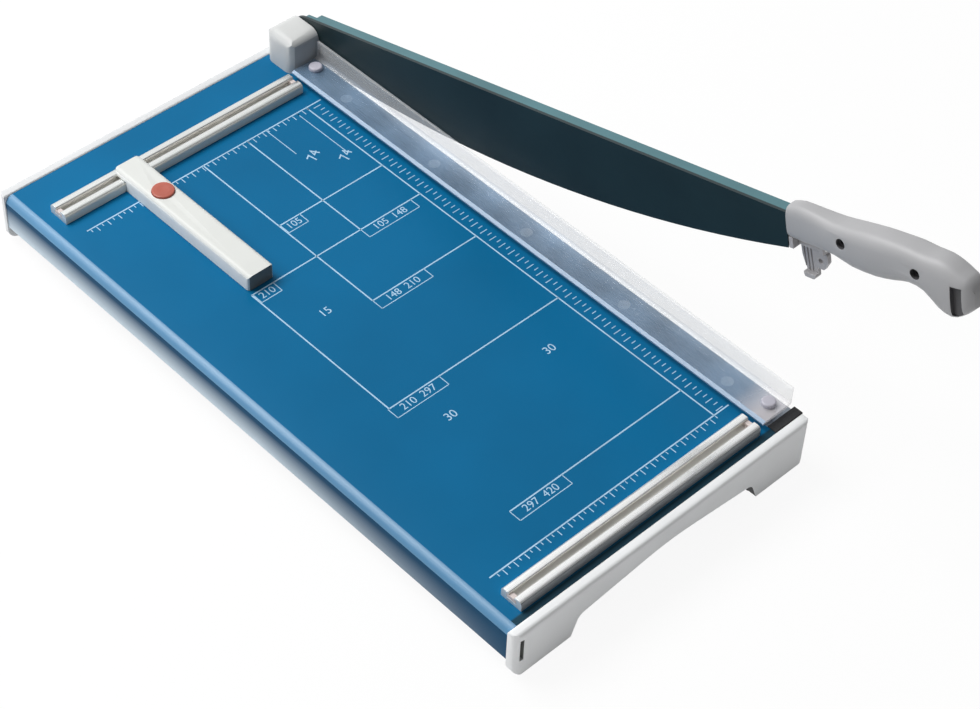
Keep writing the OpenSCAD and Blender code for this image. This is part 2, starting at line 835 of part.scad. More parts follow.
// Pivot
module pivot_bracket() {
    color("dimgray")
    on_base()
    difference() {
        along_x(bracket_x0, bracket_x1)
            polygon(outline([
                [bracket_y0, bed_top, 0], [bracket_y0, bracket_top, bracket_r],
                [bracket_y1, bracket_top, bracket_r], [bracket_y1, bed_top, 0]
            ]));
        translate([0, pivot_y, pivot_h])
            rod_x(bracket_x0 - cut_through, bracket_x1 + cut_through, bolt_r + seat_fit);
        at_bracket_screws()
            cylinder(h = bed_h + bracket_screw_grip + screw_spare, r = bracket_screw[0] + seat_fit);
    }
}
module bracket_screws() {
    color("silver")
    on_base()
    at_bracket_screws()
        screw_up(bracket_screw, bed_h + bracket_screw_grip);
}
module cover_block(inset, low) {
    x0 = -cover_w + inset;
    x1 = -gap + inset;
    y0 = cover_y0 + inset;
    y1 = cover_y1 - inset;
    top = cover_h - inset;
    r = cover_r - inset;
    intersection() {
        along_x(x0, x1)
            polygon(outline([[y0, low, 0], [y0, top, r], [y1, top, r], [y1, low, 0]]));
        along_y(y0, y1)
            polygon(outline([[x0, low, 0], [x0, top, r], [x1, top, 0], [x1, low, 0]]));
        translate([0, 0, low])
            linear_extrude(top - low)
                polygon(outline([[x0, y0, r], [x0, y1, r], [x1, y1, 0], [x1, y0, 0]]));
    }
}
module pivot_cover() {
    color("lightgray")
    on_base()
    difference() {
        cover_block(0, bed_top);
        cover_block(cover_wall, bed_top - cut_through);
        box([-cover_w - cut_through, cover_y0 - cut_through, bed_top - cut_through],
            [-knife_w + gap / 2, cover_y1 + cut_through, 0]);
    }
}
module at_pivot() {
    translate([0, pivot_y, pivot_h])
        children();
}
module pivot_bolt() {
    color("silver")
    on_base()
    at_pivot()
    difference() {
        union() {
            rod_x(bracket_x0 + 1, bolt_head_x0, bolt_r);
            rod_x(bracket_x0 - nut_h - 1.5, bracket_x0 + 1.5, thread_r);
            rod_x(bolt_head_x0, bolt_head_x1, bolt_r + 4);
        }
        rod_x(bolt_head_x1 - bolt_head_h / 2, bolt_head_x1 + cut_through, bolt_r * 0.8, 6);
    }
}
module pivot_nut() {
    color("silver")
    on_base()
    at_pivot()
    difference() {
        rod_x(bracket_x0 - nut_h, bracket_x0, bolt_r + 2.5, 6);
        rod_x(bracket_x0 - nut_h - cut_through, bracket_x0 + cut_through, thread_r + seat_fit);
    }
}
module thrust_washer() {
    color("tan")
    on_base()
    at_pivot()
    difference() {
        rod_x(washer_x0, washer_x0 + washer_t, bolt_r + 5);
        rod_x(washer_x0 - cut_through, washer_x0 + washer_t + cut_through, bolt_r + seat_fit);
    }
}
module disc_springs() {
    color("silver")
    on_base()
    at_pivot()
    translate([disc_x0, 0, 0])
        rotate([0, 90, 0]) {
            disc_spring();
            translate([0, 0, disc_stack])
                mirror([0, 0, 1])
                    disc_spring();
        }
}
module disc_spring() {
    bore = bolt_r + gap;
    rim = bolt_r + 5;
    rotate_extrude()
        polygon([[bore, disc_dish], [rim, 0], [rim, disc_t], [bore, disc_dish + disc_t]]);
}

// Guard
module guard_posts() {
    color("silver")
    on_base()
    at_posts() {
        translate([0, 0, bed_bottom])
            cylinder(h = post_seat - bed_bottom + 1, r = post_thread_r);
        translate([0, 0, post_seat])
            cylinder(h = post_top - post_seat, r = post_r);
        translate([0, 0, post_top])
            rotate_extrude()
                polygon(outline([
                    [0, 0, 0], [post_head_r, 0, 0], [post_head_r, post_head_h, 1.5], [0, post_head_h, 0]
                ]));
    }
}
module guard_springs() {
    color("gray")
    on_base()
    at_posts()
        wound_spring("guard spring", guard_spring_r, guard_wire, post_seat, guard_lift, guard_curls);
}
module clear_guard() {
    top = guard_lift + guard_t;
    color("lavender", 0.5)
    on_base()
    difference() {
        along_y(guard_y0, guard_y1)
            polygon(outline([
                [guard_x0, guard_lift, 0], [guard_x0, top - guard_bevel[1], 0],
                [guard_x0 + guard_bevel[0], top, 0], [guard_x1 - guard_t, top, guard_fillet_r],
                [guard_x1 - guard_t, guard_h, guard_edge_r], [guard_x1, guard_h, guard_edge_r],
                [guard_x1, guard_lift, guard_heel_r]
            ]));
        at_posts()
            translate([0, 0, guard_lift - cut_through])
                cylinder(h = guard_t + 2 * cut_through, r = post_r + gap);
    }
}

// Backstop
module backstop_plan(inset, r) {
    head = backstop_head_y - inset;
    tip = -backstop_reach + inset;
    half = backstop_w / 2 - inset;
    polygon(outline([[-half, head, r], [half, head, r], [half, tip, r], [-half, tip, r]]));
}
module at_button() {
    translate([0, button_y, 0])
        children();
}
module at_lever() {
    translate([0, lever_y, lever_z])
        children();
}
module backstop_body() {
    half = backstop_w / 2;
    color("ivory")
    on_backstop()
    difference() {
        intersection() {
            linear_extrude(backstop_h)
                backstop_plan(0, backstop_corner_r);
            along_y(-backstop_reach, backstop_head_y)
                polygon(outline([
                    [-half, backstop_lift, 0], [-half, backstop_h, backstop_edge_r],
                    [half, backstop_h, backstop_edge_r], [half, backstop_lift, 0]
                ]));
        }
        linear_extrude(backstop_roof)
            backstop_plan(backstop_wall, backstop_corner_r - backstop_wall);
        box([-backstop_w, -backstop_lift, 0], [backstop_w, rail_w + cut_through, rail_clear]);
        at_button()
            translate([0, 0, backstop_roof - cut_through])
                cylinder(h = backstop_h, r = button_r + gap);
        at_lever()
            rod_x(-lever_pin_half, lever_pin_half, lever_pin_r + seat_fit);
    }
}
module backstop_base() {
    color("gainsboro")
    on_backstop()
    difference() {
        box([-backstop_in, base_plate_y[0], backstop_lift], [backstop_in, base_plate_y[1], base_plate_top]);
        at_button()
            cylinder(h = backstop_h, r = button_stem_r + gap);
    }
}
module guide_shoes() {
    neck = groove_mouth / 2 - gap;
    foot = groove_w / 2 - gap;
    color("gainsboro")
    on_backstop()
    for (side = [0, 1])
        mirror([side, 0, 0])
            translate([0, groove_y, 0]) {
                box([shoe_x0, -foot, groove_floor + gap], [backstop_in, foot, groove_top - gap]);
                box([shoe_x0, -neck, groove_floor + gap], [backstop_in, neck, backstop_roof]);
            }
}
module lever_pin() {
    color("silver")
    on_backstop()
    at_lever()
    rod_x(-lever_pin_half + gap, lever_pin_half - gap, lever_pin_r);
}
module button_spring() {
    color("gray")
    on_backstop()
    at_button()
    wound_spring("button spring", button_spring_r, button_wire, base_plate_top, button_collar_z,
        button_curls);
}
module release_button() {
    top = backstop_h + button_proud;
    color("tomato")
    on_backstop()
    at_button()
    rotate_extrude()
        polygon(outline([
            [0, button_stem_z, 0], [button_stem_r, button_stem_z, 0.6], [button_stem_r, button_collar_z, 0],
            [button_collar_r, button_collar_z, 0], [button_collar_r, button_collar_z + button_collar_h, 0],
            [button_r, button_collar_z + button_collar_h, 0], [button_r, top, 1], [button_r * 0.55, top, 1],
            [0, top - 0.6, 0]
        ]));
}
module brake_lever() {
    prong_z = lever_prong_top - button_travel;
    prong = [button_spring_r + 1.8, button_spring_r + 4.2];
    color("darkgray")
    on_backstop()
    difference() {
        union() {
            at_lever()
                rod_x(-backstop_in, backstop_in, lever_hub_r);
            for (side = [0, 1])
                mirror([side, 0, 0]) {
                    box([prong[0], button_y, prong_z - lever_prong_t], [prong[1], lever_y, prong_z]);
                    box([prong[0], button_y, prong_z - lever_prong_t],
                        [prong[1], button_y + lever_tip, lever_prong_top]);
                }
            box([-lever_arm_half, lever_y, lever_arm_z[0]],
                [lever_arm_half, groove_y + brake_stem_half, lever_arm_z[1]]);
            box([-lever_arm_half, groove_y - brake_stem_half, brake_z + brake_t],
                [lever_arm_half, groove_y + brake_stem_half, lever_arm_z[1]]);
        }
        at_lever()
            rod_x(-backstop_in - cut_through, backstop_in + cut_through, lever_pin_r + run_fit);
    }
}
module brake_pad() {
    color("dimgray")
    on_backstop()
    box([-lever_arm_half, groove_y - brake_half, brake_z],
        [lever_arm_half, groove_y + brake_half, brake_z + brake_t]);
}

// Blade and arm bar, drawn along the arm with the pivot at the origin
function edge_crossing(t) = edge_mid - sqrt(edge_r * edge_r - (edge_centre_t - t) * (edge_centre_t - t));
module edge_axis() {
    translate([0, -edge_mid, edge_centre_t])
        rotate([0, 90, 0])
            children();
}
module upper_knife() {
    join = edge_crossing(-blade_back);
    outer = cut_gap + blade_t;
    color("darkslategray")
    on_arm()
    difference() {
        union() {
            intersection() {
                from_side(cut_gap, outer)
                    polygon([
                        [0, blade_back], [blade_len, blade_back], [blade_len, -2 * edge_depth],
                        [0, -2 * edge_depth]
                    ]);
                edge_axis()
                    cylinder(h = 2 * outer, r = edge_r, $fn = 720);
            }
            from_side(cut_gap, outer)
                polygon([[0, -blade_back], [0, blade_back], [join, blade_back], [join, -blade_back]]);
            rod_x(cut_gap, outer, blade_back);
        }
        edge_axis()
            rotate_extrude($fn = 720)
                polygon([
                    [edge_r - bevel_w, outer], [edge_r + 2, outer + 1], [edge_r + 2, cut_gap + bevel_land],
                    [edge_r, cut_gap + bevel_land]
                ]);
        rod_x(cut_gap - cut_through, outer + cut_through, bolt_r + bush_wall + seat_fit);
        at_blade_screws()
            rod_x(outer - blade_screw_bite, outer + cut_through, blade_screw[0] + seat_fit);
    }
}
module at_blade_screws() {
    first = blade_screw_ends[0];
    pitch = (blade_len - blade_screw_ends[1] - first) / (blade_screw_n - 1);
    for (i = [0:blade_screw_n - 1])
        translate([0, -(first + i * pitch), blade_back - bar_depth / 2])
            children();
}
module arm_bar() {
    web_low = blade_back - bar_depth;
    heel = blade_back - bar_t;
    flange_s = [blade_back / 2, blade_len - 2];
    color("darkslategray")
    on_arm()
    difference() {
        union() {
            from_side(bar_x0, bar_x1)
                polygon(outline([
                    [0, web_low, 0], [0, blade_back, 0],
                    [blade_len, blade_back, 0], [blade_len, tang_t[1], 0],
                    [tang_end, tang_t[1], 3], [tang_end, tang_t[0], 3], [blade_len, tang_t[0], 0],
                    [blade_len, web_low, 3]
                ]));
            rod_x(bar_x0, bar_x1, heel);
            from_side(bar_x1 - bar_t / 2, bar_x1 + bar_flange)
                polygon([
                    [flange_s[0], blade_back - bar_t], [flange_s[0], blade_back],
                    [flange_s[1], blade_back], [flange_s[1], blade_back - bar_t]
                ]);
        }
        rod_x(bar_x0 - cut_through, bar_x1 + cut_through, bolt_r + bush_wall + seat_fit);
        at_blade_screws()
            rod_x(bar_x0 - cut_through, bar_x1 + cut_through, blade_screw[0] + seat_fit);
        at_handle_screws()
            rod_x(bar_x0 - cut_through, bar_x1 + cut_through, handle_screw_r + seat_fit);
    }
}
module blade_screws() {
    color("gray")
    on_arm()
    at_blade_screws()
        translate([bar_x1, 0, 0])
            rotate([0, -90, 0])
                screw_up(blade_screw, bar_t + blade_screw_bite - seat_fit);
}
module pivot_bush() {
    color("tan")
    on_arm()
    difference() {
        rod_x(bush_x0, bush_x1, bolt_r + bush_wall);
        rod_x(bush_x0 - cut_through, bush_x1 + cut_through, bolt_r + run_fit);
    }
}

// Handle: a body through the stations, split along the arm bar's tang
function blend4(a, b, c, d, f) =
    0.5 * (2 * b + (c - a) * f + (2 * a - 5 * b + 4 * c - d) * f * f + (3 * b - a - 3 * c + d) * f * f * f);
function station(i) = stations[max(0, min(i, len(stations) - 1))];
function power(v, n) = sign(v) * pow(abs(v), n);
handle_rings = [
    for (i = [0:len(stations) - 2]) for (k = [0:station_steps - 1])
        blend4(station(i - 1), station(i), station(i + 1), station(i + 2), k / station_steps),
    stations[len(stations) - 1]
];
handle_points = [
    for (ring = handle_rings) for (k = [0:ring_sides - 1])
        let (a = -360 * k / ring_sides)
        [
            handle_x + ring[3] * handle_w / 2 * power(cos(a), 2 / squareness),
            -(blade_len + ring[0] * handle_len),
            handle_t + ring[1] * grip_rise + ring[2] * handle_h / 2 * power(sin(a), 2 / squareness)
        ]
];

// Origin at the middle of the underside of the whole object
end_x = max(bolt_head_x1, handle_x + handle_w / 2);
end_y = pivot_y + min([for (p = handle_points) p[1] * cos(arm_raise) + p[2] * sin(arm_raise)]);
shift = [-(cap_left + end_x) / 2, -(far_edge + cap_t + end_y) / 2, table_h];

module handle_form() {
    polyhedron(handle_points, tube_faces(len(handle_rings), ring_sides), convexity = 6);
}
module at_handle_screws() {
    for (p = handle_screws_st)
        translate([0, -p[0], p[1]])
            children();
}
module tang_pocket() {
    spare = gap / 3;
    box([bar_x0 - spare, -(tang_end + spare), tang_t[0] - spare],
        [bar_x1 + spare, -blade_len + cut_through, tang_t[1] + spare]);
}
module latch_notch() {
    low = latch_seat_t - 2 * handle_h;
    x1 = latch_pin_x + latch_half + gap;
    box([latch_pin_x - latch_half - gap, -latch_s[1] - gap, low], [x1, -latch_s[0] + gap, latch_seat_t]);
    box([cut_gap, -latch_s[0] - latch_ear - gap, low], [x1, -latch_s[0] + gap, latch_seat_t]);
}
module handle_inner_shell() {
    color("lightgray")
    on_arm()
    difference() {
        handle_form();
        box([split_x, -2 * handle_end, -handle_end], [handle_end, 0, handle_end]);
        tang_pocket();
        latch_notch();
        at_handle_screws() {
            rod_x(-handle_w, split_x + cut_through, handle_screw_r + seat_fit);
            rod_x(-handle_w, handle_screw_x, handle_screw_head[0] + seat_fit);
        }
        translate([handle_x - handle_w / 2, -pommel_slot_s, handle_t - handle_h / 6])
            cube([2 * pommel_slot_d, pommel_slot_w, pommel_slot_h], center = true);
    }
}
module handle_outer_shell() {
    color("lightgray")
    on_arm()
    difference() {
        handle_form();
        box([-handle_end, -2 * handle_end, -handle_end], [split_x, 0, handle_end]);
        tang_pocket();
        latch_notch();
        at_handle_screws() {
            rod_x(split_x - cut_through, handle_x + handle_w, handle_screw_r + seat_fit);
            rod_x(handle_nut_x, handle_x + handle_w, handle_nut_r + seat_fit, 6);
        }
    }
}
module handle_screws() {
    color("dimgray")
    on_arm()
    at_handle_screws() {
        rod_x(handle_screw_x, handle_nut_x + handle_nut_h, handle_screw_r);
        difference() {
            rod_x(handle_screw_x - handle_screw_head[1], handle_screw_x, handle_screw_head[0]);
            rod_x(handle_screw_x - 2 * handle_screw_head[1], handle_screw_x - socket_floor,
                handle_screw_head[0] / 2, 6);
        }
    }
}
module handle_nuts() {
    color("gray")
    on_arm()
    at_handle_screws()
    difference() {
        rod_x(handle_nut_x, handle_nut_x + handle_nut_h, handle_nut_r, 6);
        rod_x(handle_nut_x - cut_through, handle_nut_x + handle_nut_h + cut_through,
            handle_screw_r + seat_fit);
    }
}

// Latch at the handle's nose
module rod_along(s0, s1, r) {
    translate([latch_pin_x, -s0, latch_pin_t])
        rotate([90, 0, 0])
            cylinder(h = s1 - s0, r = r);
}
module latch_bracket() {
    x0 = latch_pin_x - latch_half;
    x1 = latch_pin_x + latch_half;
    low = latch_pin_t - latch_knuckle_r;
    color("lightgray")
    on_arm()
    difference() {
        union() {
            box([x0, -latch_s[1], latch_base_t], [x1, -latch_s[0], latch_seat_t]);
            box([cut_gap + gap, -latch_s[0] - latch_ear, latch_pin_t - latch_knuckle_r],
                [x1, -latch_s[0], latch_seat_t]);
            box([x0, -latch_s[1], low], [x1, -latch_s[1] + latch_ear, latch_seat_t]);
        }
        rod_along(latch_s[0] - cut_through, latch_s[1] + cut_through, latch_pin_r + seat_fit);
    }
}
module latch_pin() {
    color("silver")
    on_arm()
    rod_along(latch_s[0], latch_s[1], latch_pin_r);
}
module latch_hook() {
    s0 = latch_s[0] + latch_ear + gap;
    s1 = s0 + latch_w;
    prong_s = s1 + prong_reach;
    leg_s0 = s0 + leg_s[0];
    leg_s1 = s0 + leg_s[1];
    low = latch_pin_t - latch_len;
    toe_top = low + latch_toe_h;
    back_x = latch_face_x + latch_t;
    color("lightgray")
    on_arm()
    difference() {
        union() {
            rod_along(s0, s1, latch_knuckle_r);
            intersection() {
                from_side(toe_x, back_x)
                    polygon(outline([
                        [s0, latch_pin_t, 0], [s1, latch_pin_t, 0], [s1, latch_pin_t - prong_top, 1],
                        [prong_s, latch_pin_t - prong_top, 2], [prong_s, latch_pin_t - prong_mid, 2],
                        [s1, latch_pin_t - prong_low, 2], [leg_s1, latch_pin_t - prong_low, 1],
                        [leg_s1, low, 3], [leg_s0, low, 2], [s0, latch_pin_t - leg_top, 3]
                    ]));
                along_y(-prong_s, -s0)
                    polygon(outline([
                        [latch_face_x, latch_pin_t, 0], [latch_face_x + latch_lean, toe_top, 0.4],
                        [toe_x, toe_top, 0.5], [toe_x, low, 0.5], [back_x, low, 1.2], [back_x, latch_pin_t, 0]
                    ]));
            }
        }
        rod_along(s0 - cut_through, s1 + cut_through, latch_pin_r + run_fit);
        translate([0, -(s1 - eye_r), latch_pin_t - eye_drop])
            rod_x(toe_x - cut_through, back_x + cut_through, eye_r);
        for (i = [0:rib_n - 1])
            box([toe_x, -(s0 + (i + 1) * rib_pitch), toe_top],
                [latch_face_x + latch_lean + rib_depth, rib_w - (s0 + (i + 1) * rib_pitch),
                latch_pin_t - latch_knuckle_r]);
    }
}

table_plate();
near_end_cap();
far_end_cap();
rubber_feet();
arm_buffer();
cap_screws();
knife_bed();
bed_screws();
lower_knife();
knife_screws();
far_stop_rail();
near_stop_rail();
rail_screws();
rail_end_plugs();
pivot_bracket();
bracket_screws();
pivot_cover();
pivot_bolt();
pivot_nut();
thrust_washer();
disc_springs();
guard_posts();
guard_springs();
clear_guard();
backstop_body();
backstop_base();
guide_shoes();
lever_pin();
button_spring();
release_button();
brake_lever();
brake_pad();
upper_knife();
arm_bar();
blade_screws();
pivot_bush();
handle_inner_shell();
handle_outer_shell();
handle_screws();
handle_nuts();
latch_bracket();
latch_pin();
latch_hook();
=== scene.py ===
"""Looks of the lever paper cutter: rounded skins, printed rulers, materials, light and camera."""
import json
import math

import bmesh
import bpy
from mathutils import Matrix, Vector


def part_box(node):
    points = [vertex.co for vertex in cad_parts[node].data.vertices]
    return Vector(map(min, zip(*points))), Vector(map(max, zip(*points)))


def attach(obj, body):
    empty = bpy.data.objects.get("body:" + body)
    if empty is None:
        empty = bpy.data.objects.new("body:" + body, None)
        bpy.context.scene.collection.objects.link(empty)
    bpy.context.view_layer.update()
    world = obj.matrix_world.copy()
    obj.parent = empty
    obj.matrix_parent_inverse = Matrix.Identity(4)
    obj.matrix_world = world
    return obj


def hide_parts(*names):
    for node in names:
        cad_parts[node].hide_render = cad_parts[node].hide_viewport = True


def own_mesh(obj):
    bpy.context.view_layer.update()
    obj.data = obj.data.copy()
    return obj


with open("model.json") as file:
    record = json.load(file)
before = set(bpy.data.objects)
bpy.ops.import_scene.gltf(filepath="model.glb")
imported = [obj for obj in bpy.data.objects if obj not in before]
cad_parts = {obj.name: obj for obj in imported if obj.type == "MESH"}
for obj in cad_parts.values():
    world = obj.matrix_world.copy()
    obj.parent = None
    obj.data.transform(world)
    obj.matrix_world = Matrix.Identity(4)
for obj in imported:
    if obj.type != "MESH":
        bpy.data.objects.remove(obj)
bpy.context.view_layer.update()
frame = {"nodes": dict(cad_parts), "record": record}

MM = 0.001
RECORD = frame["record"]
BODY_OF = {node: body for body, nodes in RECORD["behaviour"]["bodies"].items() for node in nodes}
SLOT_OF = {part["node"]: part["material_slot"] for part in RECORD["subparts"]}

# Reference places: the cut plane, the face of the far rail and the table top
CUT_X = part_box("lower_knife")[1][0]
RAIL_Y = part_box("far_stop_rail")[0][1]
TABLE_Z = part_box("lower_knife")[1][2]


def place(x, y, z):
    """A point in mm from the cut plane, the far rail and the table top, in the frame's metres."""
    return Vector((CUT_X + x * MM, RAIL_Y + y * MM, TABLE_Z + z * MM))


# Shader helpers
def split_axes(tree, space):
    """The X, Y and Z of a coordinate space."""
    where = tree.nodes.new("ShaderNodeTexCoord")
    split = tree.nodes.new("ShaderNodeSeparateXYZ")
    tree.links.new(where.outputs[space], split.inputs["Vector"])
    return split.outputs


def noise(tree, scale, stretch=(1, 1, 1), detail=3.0):
    """A noise in object space, with features about 1 / scale metres wide."""
    where = tree.nodes.new("ShaderNodeTexCoord")
    mapping = tree.nodes.new("ShaderNodeMapping")
    mapping.inputs["Scale"].default_value = stretch
    texture = tree.nodes.new("ShaderNodeTexNoise")
    texture.inputs["Scale"].default_value = scale
    texture.inputs["Detail"].default_value = detail
    tree.links.new(where.outputs["Object"], mapping.inputs["Vector"])
    tree.links.new(mapping.outputs["Vector"], texture.inputs["Vector"])
    return texture.outputs["Fac"]


def ramp(tree, value, ends, levels=(0.0, 1.0)):
    """A value between two ends, as a level between two levels."""
    scale = tree.nodes.new("ShaderNodeMapRange")
    for name, number in zip(("From Min", "From Max", "To Min", "To Max"), (*ends, *levels)):
        scale.inputs[name].default_value = number
    tree.links.new(value, scale.inputs["Value"])
    return scale.outputs["Result"]


def combine(tree, operation, first, second):
    node = tree.nodes.new("ShaderNodeMath")
    node.operation = operation
    tree.links.new(first, node.inputs[0])
    tree.links.new(second, node.inputs[1])
    return node.outputs["Value"]


def faded(tree, color, second_color, bands):
    """A colour that turns into a second one where all the bands reach their ends."""
    axes = split_axes(tree, "Object")
    shares = [ramp(tree, axes[axis], ends) for axis, ends in bands.items()]
    share = shares[0]
    for other in shares[1:]:
        share = combine(tree, "MULTIPLY", share, other)
    mix = tree.nodes.new("ShaderNodeMix")
    mix.data_type = "RGBA"
    mix.inputs["B"].default_value = (*second_color, 1)
    tree.links.new(share, mix.inputs["Factor"])
    tree.links.new(color, mix.inputs["A"])
    return mix.outputs["Result"]


def mix_shaders(tree, share, first, second):
    mix = tree.nodes.new("ShaderNodeMixShader")
    tree.links.new(share, mix.inputs["Fac"])
    tree.links.new(first, mix.inputs[1])
    tree.links.new(second, mix.inputs[2])
    return mix.outputs["Shader"]


# Materials
NOISE_MIDDLE = (0.3, 0.7)
ROUGHNESS_SPREAD = 0.15
RELIEF_STRENGTH = 0.5
COAT_ROUGHNESS = 0.3


def surface(name, color, roughness, shift=0.06, patch=18.0, grain=900.0, relief=0.00004, stretch=(1, 1, 1),
            metallic=0.0, alpha=1.0, coat=0.0, specular=0.5, fade=None):
    """A material whose colour drifts in patches, with a fine grain in its roughness and relief."""
    material = bpy.data.materials.new(name)
    material.use_nodes = True
    tree = material.node_tree
    tree.nodes.clear()
    output = tree.nodes.new("ShaderNodeOutputMaterial")
    shader = tree.nodes.new("ShaderNodeBsdfPrincipled")
    tree.links.new(shader.outputs["BSDF"], output.inputs["Surface"])
    shader.inputs["Metallic"].default_value = metallic
    shader.inputs["Alpha"].default_value = alpha
    shader.inputs["Coat Weight"].default_value = coat
    shader.inputs["Coat Roughness"].default_value = COAT_ROUGHNESS
    shader.inputs["Specular IOR Level"].default_value = specular
    tint = tree.nodes.new("ShaderNodeMix")
    tint.data_type = "RGBA"
    tint.inputs["A"].default_value = [c * (1 - shift) for c in color] + [1]
    tint.inputs["B"].default_value = [min(1.0, c * (1 + shift)) for c in color] + [1]
    tree.links.new(ramp(tree, noise(tree, patch), NOISE_MIDDLE), tint.inputs["Factor"])
    base = faded(tree, tint.outputs["Result"], *fade) if fade else tint.outputs["Result"]
    tree.links.new(base, shader.inputs["Base Color"])
    fine = noise(tree, grain, stretch)
    rough = (roughness * (1 - ROUGHNESS_SPREAD), min(1.0, roughness * (1 + ROUGHNESS_SPREAD)))
    tree.links.new(ramp(tree, fine, NOISE_MIDDLE, rough), shader.inputs["Roughness"])
    bump = tree.nodes.new("ShaderNodeBump")
    bump.inputs["Distance"].default_value = relief
    bump.inputs["Strength"].default_value = RELIEF_STRENGTH
    tree.links.new(fine, bump.inputs["Height"])
    tree.links.new(bump.outputs["Normal"], shader.inputs["Normal"])
    return material


# A second colour, and the bands of the object's space in which the first one turns into it
TABLE_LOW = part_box("table_plate")[0]
STRIP_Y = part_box("near_stop_rail")[0][1]
# The skirt turns pale towards its lower edge, less so towards the near end: a painted reflection of the white
# floor.
SKIRT_FLOOR_REFLECTION = ((0.60, 0.70, 0.78), {"Z": (TABLE_Z - 9 * MM, TABLE_LOW[2]),
                                   "Y": (TABLE_LOW[1], RAIL_Y - 240 * MM)})
# The strip past the near rail turns dark: a painted shadow of the rail.
NEAR_STRIP_SHADOW = ((0.012, 0.050, 0.078), {"Y": (STRIP_Y, STRIP_Y - 1.5 * MM)})
GUARD_FADE = ((0.95, 0.92, 0.96), {"Y": (RAIL_Y - 452 * MM, RAIL_Y - 474 * MM)})

